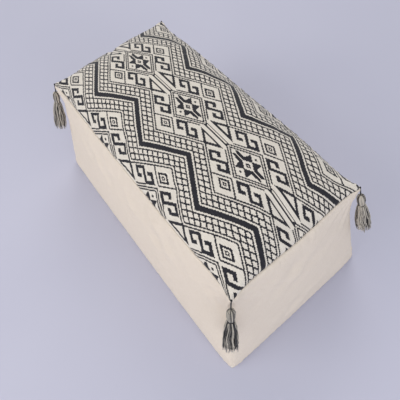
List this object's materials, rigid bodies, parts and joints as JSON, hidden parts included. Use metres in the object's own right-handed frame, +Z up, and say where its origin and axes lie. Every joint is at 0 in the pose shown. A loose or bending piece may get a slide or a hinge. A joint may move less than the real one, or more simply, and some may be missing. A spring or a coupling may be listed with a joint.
{
  "type": "floor cushion",
  "caption": "Long boxed floor cushion with a geometric woven top, plain canvas sides, a rear zip and a hanging yarn tassel at each top corner.",
  "frame": {"origin": "middle of the base, on the floor", "axes": "+X along the length, +Y towards the rear long side that holds the zip, +Z up"},
  "size_m": [0.6598, 0.3522, 0.31],
  "materials": {
    "patterned_cloth": "jacquard weave in charcoal and cream",
    "cover_canvas": "plain cream canvas",
    "lining_cloth": "white cotton lining",
    "foam": "open cell foam",
    "wadding": "white fibre wadding",
    "zip_tape": "cream woven tape",
    "zip_coil": "cream nylon",
    "zip_metal": "nickel plated",
    "cord_black": "twisted charcoal cord",
    "tassel_yarn": "mixed charcoal and grey yarn"
  },
  "bodies": {
    "cushion": {"top_panel": "patterned_cloth", "front_panel": "cover_canvas", "left_end_panel": "cover_canvas", "right_end_panel": "cover_canvas", "rear_panel": "cover_canvas", "rear_zip_strip": "cover_canvas", "base_panel": "cover_canvas", "liner_top": "lining_cloth", "liner_boxing": "lining_cloth", "liner_base": "lining_cloth", "foam_core": "foam", "wadding_top": "wadding", "wadding_base": "wadding", "zipper_tape_upper": "zip_tape", "zipper_tape_lower": "zip_tape", "zipper_coil_upper": "zip_coil", "zipper_coil_lower": "zip_coil", "zipper_end_stops": "zip_metal", "corner_stitching": "cord_black"},
    "zipper_slider": {"zipper_slider": "zip_metal"},
    "zipper_pull": {"zipper_pull": "zip_metal"},
    "tassel_front_left_hanger": {"tassel_front_left_cord": "cord_black"},
    "tassel_front_left": {"tassel_front_left_head": "tassel_yarn", "tassel_front_left_binding": "cord_black", "tassel_front_left_skirt": "tassel_yarn"},
    "tassel_front_right_hanger": {"tassel_front_right_cord": "cord_black"},
    "tassel_front_right": {"tassel_front_right_head": "tassel_yarn", "tassel_front_right_binding": "cord_black", "tassel_front_right_skirt": "tassel_yarn"},
    "tassel_rear_left_hanger": {"tassel_rear_left_cord": "cord_black"},
    "tassel_rear_left": {"tassel_rear_left_head": "tassel_yarn", "tassel_rear_left_binding": "cord_black", "tassel_rear_left_skirt": "tassel_yarn"},
    "tassel_rear_right_hanger": {"tassel_rear_right_cord": "cord_black"},
    "tassel_rear_right": {"tassel_rear_right_head": "tassel_yarn", "tassel_rear_right_binding": "cord_black", "tassel_rear_right_skirt": "tassel_yarn"}
  },
  "joints": [
    {"name": "zip_run", "type": "slide", "parent": "cushion", "child": "zipper_slider", "axis": [1, 0, 0], "range_m": [0, 0.408]},
    {"name": "pull_flip", "type": "hinge", "parent": "zipper_slider", "child": "zipper_pull", "pos_m": [-0.204, 0.16759, 0.04454], "axis": [0, -0.1695, 0.9855], "range_deg": [0, 165]},
    {"name": "tassel_front_left_lift", "type": "hinge", "parent": "cushion", "child": "tassel_front_left_hanger", "pos_m": [-0.27433, -0.13607, 0.258], "axis": [-0.7071, 0.7071, 0], "range_deg": [0, 95]},
    {"name": "tassel_front_left_sway", "type": "hinge", "parent": "tassel_front_left_hanger", "child": "tassel_front_left", "pos_m": [-0.27842, -0.14016, 0.23781], "axis": [-0.7071, -0.7071, 0], "range_deg": [-35, 35]},
    {"name": "tassel_front_right_lift", "type": "hinge", "parent": "cushion", "child": "tassel_front_right_hanger", "pos_m": [0.28981, -0.13607, 0.258], "axis": [-0.7071, -0.7071, 0], "range_deg": [0, 95]},
    {"name": "tassel_front_right_sway", "type": "hinge", "parent": "tassel_front_right_hanger", "child": "tassel_front_right", "pos_m": [0.2939, -0.14016, 0.23781], "axis": [0.7071, -0.7071, 0], "range_deg": [-35, 35]},
    {"name": "tassel_rear_left_lift", "type": "hinge", "parent": "cushion", "child": "tassel_rear_left_hanger", "pos_m": [-0.28981, 0.13607, 0.258], "axis": [0.7071, 0.7071, 0], "range_deg": [0, 95]},
    {"name": "tassel_rear_left_sway", "type": "hinge", "parent": "tassel_rear_left_hanger", "child": "tassel_rear_left", "pos_m": [-0.2939, 0.14016, 0.23781], "axis": [-0.7071, 0.7071, 0], "range_deg": [-35, 35]},
    {"name": "tassel_rear_right_lift", "type": "hinge", "parent": "cushion", "child": "tassel_rear_right_hanger", "pos_m": [0.27433, 0.13607, 0.258], "axis": [0.7071, -0.7071, 0], "range_deg": [0, 95]},
    {"name": "tassel_rear_right_sway", "type": "hinge", "parent": "tassel_rear_right_hanger", "child": "tassel_rear_right", "pos_m": [0.27842, 0.14016, 0.23781], "axis": [0.7071, 0.7071, 0], "range_deg": [-35, 35]}
  ]
}
